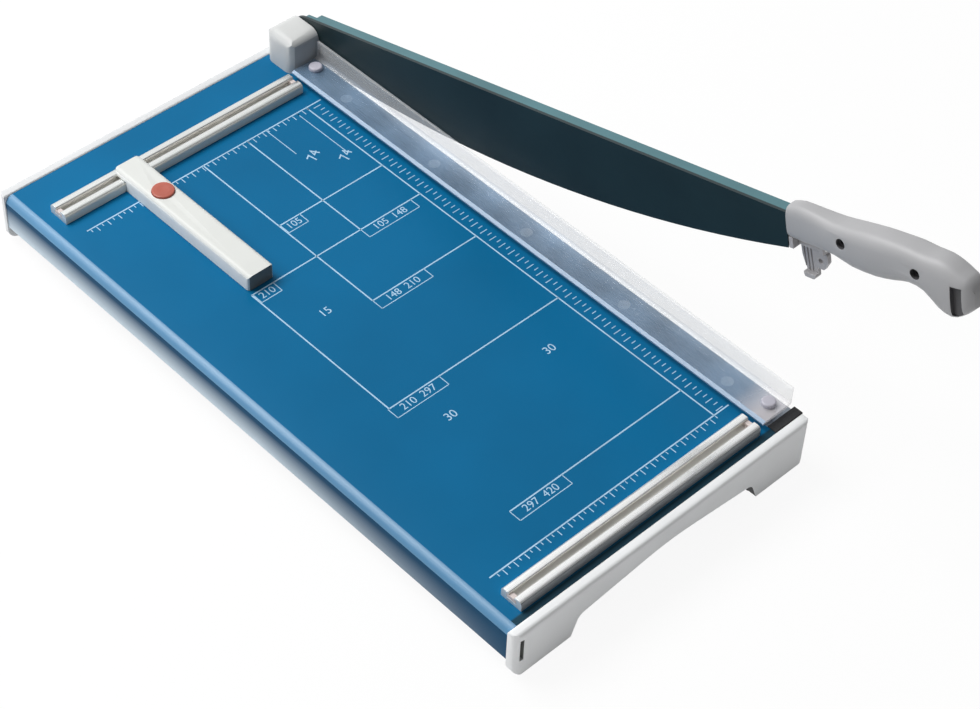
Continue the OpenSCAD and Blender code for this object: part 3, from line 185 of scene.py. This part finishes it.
# Settings that several materials share
ALONG_X = (0.02, 1, 1)
ALONG_Y = (1, 0.02, 1)
PAINT = {"shift": 0.07, "patch": 9, "grain": 1500}
MOULDED = {"shift": 0.03, "grain": 1800}
DRAWN = {"grain": 3000, "relief": 0.00001, "stretch": ALONG_X}
CLEAR = {"grain": 60, "relief": 0.00002}
LOOKS = {
    # The table's blue, with a painted shadow of the near rail on the strip past it
    "table_paint": dict(color=(0.002, 0.132, 0.295), roughness=0.34, specular=0.1, fade=NEAR_STRIP_SHADOW, **PAINT),
    # The fold's lighter, coated blue is a painted highlight along the fold.
    "table_fold_highlight": dict(color=(0.070, 0.235, 0.420), roughness=0.45, coat=0.35, **PAINT),
    # The skirt's darker blue is painted shade on the table's side, fading lower down into the painted floor
    # reflection.
    "table_skirt_shade_and_reflection": dict(color=(0.003, 0.060, 0.138), roughness=0.34, specular=0.06, fade=SKIRT_FLOOR_REFLECTION, **PAINT),
    "cap_plastic": dict(color=(0.92, 0.935, 0.945), roughness=0.5, **MOULDED),
    # Dark grey painted shade inside the slit of the near cap's left foot.
    "cap_slit_shade": dict(color=(0.20, 0.21, 0.20), roughness=0.6, grain=1800),
    "far_cap_plastic": dict(color=(0.68, 0.695, 0.705), roughness=0.5, **MOULDED),
    "cover_plastic": dict(color=(0.60, 0.61, 0.605), roughness=0.5, **MOULDED),
    # Darker grey on the pivot cover's near face: painted shade.
    "cover_front": dict(color=(0.42, 0.44, 0.455), roughness=0.5, shift=0.04, grain=1800),
    "foot_rubber": dict(color=(0.018, 0.019, 0.021), roughness=0.75, shift=0.2, grain=1400),
    "screw_steel": dict(color=(0.55, 0.56, 0.57), roughness=0.32, metallic=1, grain=1200),
    "spring_steel": dict(color=(0.42, 0.43, 0.45), roughness=0.3, metallic=1, grain=2500),
    "bed_steel": dict(color=(0.05, 0.06, 0.07), roughness=0.5, shift=0.15, grain=700),
    "knife_steel": dict(color=(0.25, 0.28, 0.32), roughness=0.3, metallic=1, grain=2600, stretch=ALONG_Y),
    "far_rail_aluminium": dict(color=(0.74, 0.76, 0.75), roughness=0.28, metallic=1, shift=0.03, **DRAWN),
    "rail_aluminium": dict(color=(0.91, 0.92, 0.92), roughness=0.28, metallic=1, shift=0.03, **DRAWN),
    "rail_groove": dict(color=(0.88, 0.87, 0.84), roughness=0.5, metallic=0.7, **DRAWN),
    # Matt colours on the rails' near faces in place of the aluminium: painted shade.
    "far_rail_face_shade": dict(color=(0.86, 0.84, 0.76), roughness=0.45, **DRAWN),
    "rail_face_shade": dict(color=(0.26, 0.28, 0.30), roughness=0.45, **DRAWN),
    "plug_plastic": dict(color=(0.66, 0.58, 0.56), roughness=0.55, grain=1500),
    "bush_bronze": dict(color=(0.55, 0.38, 0.18), roughness=0.35, metallic=1, grain=1500),
    "guard_clear": dict(color=(0.25, 0.38, 0.54), roughness=0.12, shift=0.35, patch=26, alpha=0.36,
                        fade=GUARD_FADE, **CLEAR),
    # The clear guard's wall is painted nearly white: painted light on the wall.
    "guard_wall_light": dict(color=(0.96, 0.97, 0.99), roughness=0.15, shift=0.03, patch=6, alpha=0.25, **CLEAR),
    # A more opaque, lighter strip on the guard's left edge: a painted highlight.
    "guard_edge_highlight": dict(color=(0.20, 0.33, 0.50), roughness=0.2, grain=400, alpha=0.85),
    "post_plastic": dict(color=(0.50, 0.49, 0.56), roughness=0.4, grain=1500),
    "backstop_plastic": dict(color=(0.70, 0.715, 0.69), roughness=0.5, shift=0.03, grain=1700),
    # Dark colour on the backstop's near end face: painted shade.
    "backstop_end_shade": dict(color=(0.17, 0.165, 0.15), roughness=0.5, grain=1700),
    # Lighter colour on the backstop's left side: painted light.
    "backstop_side_light": dict(color=(0.93, 0.94, 0.92), roughness=0.5, shift=0.03, grain=1700),
    "button_red": dict(color=(0.43, 0.10, 0.065), roughness=0.35, shift=0.1, patch=60, grain=1500),
    "blade_dark": dict(color=(0.012, 0.026, 0.030), roughness=0.36, shift=0.15, patch=14, grain=1700,
                       stretch=ALONG_Y, specular=0.25),
    "arm_dark": dict(color=(0.070, 0.175, 0.200), roughness=0.4, shift=0.12, patch=14, grain=1700,
                     specular=0.3),
    "ground_steel": dict(color=(0.40, 0.42, 0.44), roughness=0.24, metallic=1, grain=2600),
    "handle_plastic": dict(color=(0.405, 0.405, 0.415), roughness=0.45, shift=0.04, patch=25, grain=1900),
    # Near black inside the handle's slot and screw bores: painted shade.
    "handle_recess_shade": dict(color=(0.075, 0.075, 0.08), roughness=0.6, shift=0.1, grain=1900),
    "latch_plastic": dict(color=(0.43, 0.42, 0.43), roughness=0.45, shift=0.05, grain=1900),
    "screw_black": dict(color=(0.02, 0.02, 0.022), roughness=0.5, shift=0.2, grain=1500),
    "print_ink": dict(color=(0.42, 0.62, 0.80), roughness=0.5, shift=0.1, patch=120, grain=2200,
                      specular=0.2),
}
MATERIALS = {name: surface(name, **look) for name, look in LOOKS.items()}

# Nodes whose look differs from the one of their slot
NODE_MATERIAL = {
    "arm_bar": "arm_dark", "guard_posts": "post_plastic", "pivot_cover": "cover_plastic",
    "latch_hook": "latch_plastic", "latch_bracket": "latch_plastic", "handle_screws": "screw_black",
    "far_end_cap": "far_cap_plastic", "far_stop_rail": "far_rail_aluminium",
}


def material_for(node):
    return MATERIALS[NODE_MATERIAL.get(node, SLOT_OF[node])]


# Skins: a copy of a node's mesh with its flat faces joined and its sharp edges rounded
def new_piece(name, mesh, body):
    piece = bpy.data.objects.new(name, mesh)
    bpy.context.scene.collection.objects.link(piece)
    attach(piece, body)
    return piece


def join_flat_faces(mesh, weld=2e-6, flat=math.radians(0.5)):
    work = bmesh.new()
    work.from_mesh(mesh)
    bmesh.ops.remove_doubles(work, verts=work.verts, dist=weld)
    bmesh.ops.dissolve_limit(work, angle_limit=flat, verts=work.verts, edges=work.edges)
    bmesh.ops.recalc_face_normals(work, faces=work.faces)
    work.to_mesh(mesh)
    work.free()


def skin(node, radius, sharp=math.radians(40), segments=3):
    """Replaces a node by its own shape with edges rounded to a radius in mm."""
    mesh = frame["nodes"][node].data.copy()
    mesh.name = node + "_skin"
    mesh.materials.clear()
    mesh.materials.append(material_for(node))
    join_flat_faces(mesh)
    mesh.polygons.foreach_set("use_smooth", [True] * len(mesh.polygons))
    mesh.set_sharp_from_angle(angle=sharp)
    piece = new_piece(node + "_skin", mesh, BODY_OF[node])
    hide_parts(node)
    rounding = piece.modifiers.new("rounding", "BEVEL")
    rounding.width = radius * MM
    rounding.segments = segments
    rounding.limit_method = "ANGLE"
    rounding.angle_limit = sharp
    rounding.harden_normals = True
    return piece


# Edge radii in mm of the nodes that show
EDGE_RADII = {
    "table_plate": 0.4, "near_end_cap": 0.8, "far_end_cap": 0.8, "rubber_feet": 0.8, "arm_buffer": 0.4,
    "far_stop_rail": 0.35, "near_stop_rail": 0.35, "rail_end_plugs": 0.5, "pivot_cover": 0.9,
    "clear_guard": 0.35, "guard_posts": 0.3, "backstop_body": 1.1, "release_button": 0.4,
    "upper_knife": 0.2, "arm_bar": 0.5, "handle_inner_shell": 0.5, "handle_outer_shell": 0.5,
    "latch_hook": 0.4, "latch_bracket": 0.5, "lower_knife": 0.15, "pivot_bolt": 0.5,
}
SKINS = {node: skin(node, radius) for node, radius in EDGE_RADII.items()}


# Paints: another material on the faces of a skin that lie at a place and look in a direction; many of them
# are painted light or shade, named at each
FOLD_RIGHT = CUT_X - 270 * MM
FOLD_STEEP = 0.38
GUARD_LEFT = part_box("clear_guard")[0][0] + 3 * MM
GUARD_WALL = CUT_X - 8.5 * MM
FLANGE_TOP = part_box("guard_posts")[1][2] - 3.2 * MM
STOP_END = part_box("backstop_body")[0][1] + 1 * MM
COVER_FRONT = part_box("pivot_cover")[0][1] + 1 * MM
# The inner flank of the near cap's right foot, which gets painted shade
FLANK_SHADE_X = (CUT_X - 62 * MM, CUT_X - 40 * MM)
CAP_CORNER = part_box("near_end_cap")[0]
SLIT_X = (CAP_CORNER[0] + 4.3 * MM, CAP_CORNER[0] + 7.7 * MM)
SLIT_Y = (CAP_CORNER[1] + 0.3 * MM, CAP_CORNER[1] + 3.2 * MM)
SLIT_FLOOR = CAP_CORNER[1] + 2.5 * MM
GROOVE_HALF = 4.6 * MM
GROOVE_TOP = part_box("near_stop_rail")[1][2] - 0.5 * MM
RAIL_FACE_DEPTH = 1.5 * MM

# Places along the arm are distances from the pivot and heights above it, in mm
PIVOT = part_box("pivot_bolt")
ARM_RAISE = math.radians(15)
SLOT_S = (645, 656)
SLOT_T = (-8, 18)
HOLES = [(557.7, 15.6), (619.2, 16.4)]
HOLE_R = 4.4


def paint_faces(node, material, chosen):
    """Paints the faces that are chosen by their middle and by their normal's shares of the axes."""
    mesh = SKINS[node].data
    mesh.materials.append(MATERIALS[material])
    for face in mesh.polygons:
        if chosen(face.center, face.normal):
            face.material_index = len(mesh.materials) - 1


def middle(box, axis):
    return (box[0][axis] + box[1][axis]) / 2


def arm_place(at):
    y = (middle(PIVOT, 1) - at.y) / MM
    z = (at.z - middle(PIVOT, 2)) / MM
    cos, sin = math.cos(ARM_RAISE), math.sin(ARM_RAISE)
    return y * cos + z * sin, z * cos - y * sin


# The faces of the table's fold, which get the painted highlight
def on_fold_highlight(at, out):
    return at.x < FOLD_RIGHT and out.x < -0.12 and out.z > FOLD_STEEP


# The faces of the table's skirt, which get painted shade and the painted floor reflection
def on_skirt_shade(at, out):
    return at.x < FOLD_RIGHT and out.x < -0.85 and out.z <= FOLD_STEEP


# The faces of the handle's slot and screw bores, which get painted shade
def in_handle_recess_shade(at, out):
    s, t = arm_place(at)
    in_slot = SLOT_S[0] < s < SLOT_S[1] and SLOT_T[0] < t < SLOT_T[1] and at.x < CUT_X
    flat = abs(out.x) > 0.999 or abs(out.x) < 0.001
    in_hole = abs(out.x) < 0.05 and any(math.hypot(s - hole[0], t - hole[1]) < HOLE_R for hole in HOLES)
    return (in_slot and flat) or in_hole


# The faces inside the slit of the near cap, which get painted shade
def in_slit_shade(at, out):
    inside = SLIT_X[0] < at.x < SLIT_X[1] and SLIT_Y[0] < at.y < SLIT_Y[1]
    return inside and (abs(out.x) > 0.95 or out.y < -0.95 and at.y > SLIT_FLOOR)


def paint_rail(rail, face_shade_material):
    """Paints the groove of a rail, and its near face with a matt colour in place of the aluminium as painted
    shade.
    """
    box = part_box(rail)
    groove_y, near_y = middle(box, 1), box[0][1] + RAIL_FACE_DEPTH
    paint_faces(rail, "rail_groove", lambda at, out: abs(at.y - groove_y) < GROOVE_HALF
                and at.z < GROOVE_TOP and out.z > -0.5)
    paint_faces(rail, face_shade_material, lambda at, out: at.y < near_y and out.y < -0.7)


# Painted highlight along the table's fold
paint_faces("table_plate", "table_fold_highlight", on_fold_highlight)
# Painted shade and painted floor reflection on the table's skirt
paint_faces("table_plate", "table_skirt_shade_and_reflection", on_skirt_shade)
# Painted light on the clear guard's wall
paint_faces("clear_guard", "guard_wall_light", lambda at, out: at.x > GUARD_WALL and at.z > FLANGE_TOP)
# Painted highlight along the clear guard's left edge
paint_faces("clear_guard", "guard_edge_highlight", lambda at, out: out.x < -0.2 and at.x < GUARD_LEFT)
# Painted light on the backstop's left side
paint_faces("backstop_body", "backstop_side_light", lambda at, out: out.x < -0.8)
# Painted shade on the backstop's near end face
paint_faces("backstop_body", "backstop_end_shade", lambda at, out: out.y < -0.8 and at.y < STOP_END)
# Painted shade on the pivot cover's near face
paint_faces("pivot_cover", "cover_front", lambda at, out: out.y < -0.9 and at.y < COVER_FRONT)
# The right foot's inner flank gets the rubber's black as painted shade, where the hollow foot lies in shadow
paint_faces("near_end_cap", "foot_rubber", lambda at, out: FLANK_SHADE_X[0] < at.x < FLANK_SHADE_X[1] and out.x < -0.3)
# Painted shade inside the slit of the near cap
paint_faces("near_end_cap", "cap_slit_shade", in_slit_shade)
# Painted shade on the near faces of both rails
paint_rail("near_stop_rail", "rail_face_shade")
paint_rail("far_stop_rail", "far_rail_face_shade")
# Painted shade inside the handle's slot and screw bores
paint_faces("handle_inner_shell", "handle_recess_shade", in_handle_recess_shade)
paint_faces("upper_knife", "ground_steel", lambda at, out: 0.3 < out.x < 0.998)
for node, piece in frame["nodes"].items():
    piece.data.materials.clear()
    piece.data.materials.append(material_for(node))


# Springs: a copy of a node's mesh on the body of its node, in place of the node
def spring(node):
    mesh = frame["nodes"][node].data.copy()
    mesh.name = node + "_coil"
    piece = new_piece(node + "_coil", mesh, BODY_OF[node])
    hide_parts(node)
    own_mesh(piece)


for joint in RECORD["behaviour"]["joints"]:
    for row in joint.get("deforming_nodes", ()):
        spring(row["node"])


# Print on the table: rulers, format outlines and numbers as thin raised ink, in mm from cut and far rail
INK_H = 0.05
LINE_W = 1.1
TICK_W = 0.7
TICK_STEP = 5
LONG_STEP = 10
CUT_RULER_X = -45
CUT_RULER_START = 20
CUT_TICK = {"long": 4, "short": 7, "end": 11}
FAR_RULER_Y = -15.5
NEAR_RULER_Y = -452
CROSS_RULER_LEFT = -258
NEAR_RULER_LEFT = -261
CROSS_RULER_PAST = 15
CROSS_RULER_START = 45
CROSS_TICK = {"long": 6, "short": 3.5, "end": 1}
FORMATS = [(148, 105), (105, 148), (210, 148), (148, 210), (210, 297)]
LONG_FORMAT = (212, 420)
# The widest format's line starts at its label, past the backstop
LINE_START = {210: -148}
CARDS = [(86, 52), (55, 74)]
# Labels in a box: left, right, top and text
LABEL_H = 10.5
LABEL_SIZE = 9
LABELS = [(-147, -128, -105, "105"), (-209, -190, -148, "210"), (-105, -55, -148, "105  148"),
          (-148, -98, -210, "148  210"), (-211, -163, -297, "210  297"), (-212, -163, -420, "297  420")]
# Free numbers: middle, text, size and turn in degrees
NUMBERS = [(-181, -196, "15", 10, 0), (-182, -330, "30", 10, 0), (-86, -330, "30", 10, 0),
           (-77, -62, "74", 12, 35), (-58, -78, "74", 12, 35)]


def add_bar(work, x0, y0, x1, y1):
    """A flat bar of ink between two corners."""
    low = [work.verts.new(place(x, y, 0)) for x, y in ((x0, y0), (x1, y0), (x1, y1), (x0, y1))]
    high = [work.verts.new(v.co + Vector((0, 0, INK_H * MM))) for v in low]
    work.faces.new(low[::-1])
    work.faces.new(high)
    for i in range(4):
        k = (i + 1) % 4
        work.faces.new((low[i], low[k], high[k], high[i]))


def add_line_x(work, y, x0, x1, width=LINE_W):
    add_bar(work, x0, y - width / 2, x1, y + width / 2)


def add_line_y(work, x, y0, y1, width=LINE_W):
    add_bar(work, x - width / 2, y0, x + width / 2, y1)


def add_number(work, text, x, y, size, turn=0.0):
    """A number in the built-in font, with its middle at x, y."""
    curve = bpy.data.curves.new("number", "FONT")
    curve.body = text
    curve.size = size * MM
    curve.align_x = "CENTER"
    curve.align_y = "CENTER"
    curve.extrude = INK_H * MM / 2
    carrier = bpy.data.objects.new("number", curve)
    bpy.context.scene.collection.objects.link(carrier)
    mesh = bpy.data.meshes.new_from_object(carrier.evaluated_get(bpy.context.evaluated_depsgraph_get()))
    center = place(x, y, INK_H / 2)
    cos, sin = math.cos(turn), math.sin(turn)
    for vertex in mesh.vertices:
        a, b, c = vertex.co
        vertex.co = center + Vector((a * cos - b * sin, a * sin + b * cos, c))
    work.from_mesh(mesh)
    bpy.data.objects.remove(carrier)
    bpy.data.curves.remove(curve)
    bpy.data.meshes.remove(mesh)


def ink_piece(name, draw):
    work = bmesh.new()
    draw(work)
    mesh = bpy.data.meshes.new(name)
    work.to_mesh(mesh)
    work.free()
    mesh.materials.append(MATERIALS["print_ink"])
    return new_piece(name, mesh, "base")


def tick_kind(distance):
    return "long" if distance % LONG_STEP == 0 else "short"


def draw_cut_ruler(work):
    add_line_y(work, CUT_RULER_X, NEAR_RULER_Y, FAR_RULER_Y)
    for v in range(CUT_RULER_START, -NEAR_RULER_Y, TICK_STEP):
        add_line_x(work, -v, CUT_RULER_X + CUT_TICK[tick_kind(v)], CUT_RULER_X + CUT_TICK["end"], TICK_W)


def draw_cross_ruler(work, y, left):
    """A ruler along x with its ticks towards the near side."""
    add_line_x(work, y, left, CUT_RULER_X + CROSS_RULER_PAST)
    for u in range(CROSS_RULER_START, -CROSS_RULER_LEFT, TICK_STEP):
        add_line_y(work, -u, y - CROSS_TICK[tick_kind(u)], y - CROSS_TICK["end"], TICK_W)


def draw_formats(work):
    for across in sorted({pair[0] for pair in FORMATS}):
        add_line_y(work, -across, -max(b for a, b in FORMATS if a == across),
                   LINE_START.get(across, FAR_RULER_Y))
    for along in sorted({pair[1] for pair in FORMATS}):
        add_line_x(work, -along, -max(a for a, b in FORMATS if b == along), CUT_RULER_X)
    add_line_x(work, -LONG_FORMAT[1], -LONG_FORMAT[0], CUT_RULER_X)
    for across, along in CARDS:
        add_line_y(work, -across, -along, FAR_RULER_Y, TICK_W)


def draw_labels(work):
    for left, right, top, text in LABELS:
        low = top - LABEL_H
        add_line_x(work, low, left, right, TICK_W)
        for x in (left, right):
            add_line_y(work, x, low, top, TICK_W)
        add_number(work, text, (left + right) / 2, top - LABEL_H / 2, LABEL_SIZE)
    for x, y, text, size, turn in NUMBERS:
        add_number(work, text, x, y, size, math.radians(turn))


for name, draw in (
        ("cut_ruler", draw_cut_ruler),
        ("far_ruler", lambda work: draw_cross_ruler(work, FAR_RULER_Y, CROSS_RULER_LEFT)),
        ("near_ruler", lambda work: draw_cross_ruler(work, NEAR_RULER_Y, NEAR_RULER_LEFT)),
        ("format_lines", draw_formats), ("format_numbers", draw_labels)):
    ink_piece(name, draw)


# Stage: a floor that the camera sees as white, with the object's shadow kept
FLOOR_HALF = 6.0
FLOOR_GLOW = 0.92
FLOOR_GREY = 0.95
# World strength from the near side to the far side, for diffuse light, for mirrors and for the camera
WORLD_LIGHT = (0.16, 0.50)
WORLD_MIRROR = (0.25, 1.0)
WORLD_SEEN = (1.0, 1.0)
WORLD_BAND = (-0.6, 0.6)
# Lamps: offset from the table's middle, size and power
TABLE_MIDDLE = place(-140, -230, 0)
LAMPS = {
    "key": (Vector((-0.42, 1.15, 1.95)), 1.3, 42),
    "side": (Vector((-1.44, 1.10, 1.40)), 0.6, 9),
}


def mirrored(tree, path):
    return combine(tree, "MAXIMUM", path["Is Glossy Ray"], path["Is Transmission Ray"])


def floor_material():
    material = bpy.data.materials.new("floor")
    material.use_nodes = True
    tree = material.node_tree
    tree.nodes.clear()
    shades = []
    for level in (FLOOR_GREY, 1.0):
        shade = tree.nodes.new("ShaderNodeBsdfDiffuse")
        shade.inputs["Color"].default_value = (level, level, level, 1)
        shades.append(shade.outputs["BSDF"])
    glow = tree.nodes.new("ShaderNodeEmission")
    white = tree.nodes.new("ShaderNodeMixShader")
    white.inputs["Fac"].default_value = FLOOR_GLOW
    tree.links.new(shades[1], white.inputs[1])
    tree.links.new(glow.outputs["Emission"], white.inputs[2])
    path = tree.nodes.new("ShaderNodeLightPath").outputs
    seen = combine(tree, "MAXIMUM", path["Is Camera Ray"], mirrored(tree, path))
    output = tree.nodes.new("ShaderNodeOutputMaterial")
    tree.links.new(mix_shaders(tree, seen, shades[0], white.outputs["Shader"]), output.inputs["Surface"])
    return material


def make_floor():
    work = bmesh.new()
    corners = ((-1, -1), (1, -1), (1, 1), (-1, 1))
    work.faces.new([work.verts.new((x * FLOOR_HALF, y * FLOOR_HALF, 0)) for x, y in corners])
    mesh = bpy.data.meshes.new("floor")
    work.to_mesh(mesh)
    work.free()
    mesh.materials.append(floor_material())
    floor = bpy.data.objects.new("floor", mesh)
    bpy.context.scene.collection.objects.link(floor)


def make_world():
    world = bpy.data.worlds.new("studio")
    bpy.context.scene.world = world
    world.use_nodes = True
    tree = world.node_tree
    tree.nodes.clear()
    axes = split_axes(tree, "Generated")
    backs = []
    for levels in (WORLD_LIGHT, WORLD_MIRROR, WORLD_SEEN):
        back = tree.nodes.new("ShaderNodeBackground")
        back.inputs["Color"].default_value = (1, 1, 1, 1)
        tree.links.new(ramp(tree, axes["Y"], WORLD_BAND, levels), back.inputs["Strength"])
        backs.append(back.outputs["Background"])
    path = tree.nodes.new("ShaderNodeLightPath").outputs
    light = mix_shaders(tree, mirrored(tree, path), backs[0], backs[1])
    output = tree.nodes.new("ShaderNodeOutputWorld")
    tree.links.new(mix_shaders(tree, path["Is Camera Ray"], light, backs[2]), output.inputs["Surface"])


def make_lamp(name, offset, size, power):
    lamp = bpy.data.lights.new(name, "AREA")
    lamp.size = size
    lamp.energy = power
    lamp_object = bpy.data.objects.new(name, lamp)
    bpy.context.scene.collection.objects.link(lamp_object)
    lamp_object.location = TABLE_MIDDLE + offset
    lamp_object.rotation_euler = (-offset).to_track_quat("-Z", "Y").to_euler()


make_floor()
make_world()
for name, lamp in LAMPS.items():
    make_lamp(name, *lamp)


# Camera at the photograph's viewing angle
AIM = place(-121.5, -305.6, 0)
AZIMUTH = math.radians(-45.58)
ELEVATION = math.radians(46.18)
ROLL = math.radians(2.88)
DISTANCE = 1.7325
FOCAL_MM = 89.55
SENSOR_MM = 36.0


def make_camera():
    back = Vector((math.sin(AZIMUTH) * math.cos(ELEVATION), -math.cos(AZIMUTH) * math.cos(ELEVATION),
                   math.sin(ELEVATION)))
    level = Vector((math.cos(AZIMUTH), math.sin(AZIMUTH), 0))
    upright = back.cross(level)
    right = level * math.cos(ROLL) + upright * math.sin(ROLL)
    up = upright * math.cos(ROLL) - level * math.sin(ROLL)
    lens = bpy.data.cameras.new("camera")
    lens.sensor_fit = "HORIZONTAL"
    lens.sensor_width = SENSOR_MM
    lens.lens = FOCAL_MM
    camera = bpy.data.objects.new("camera", lens)
    bpy.context.scene.collection.objects.link(camera)
    turn = camera.matrix_world.to_3x3()
    turn.col[0], turn.col[1], turn.col[2] = right, up, back
    camera.matrix_world = turn.to_4x4()
    camera.location = AIM + back * DISTANCE
    bpy.context.scene.camera = camera


make_camera()
bpy.context.scene.view_settings.view_transform = "Standard"
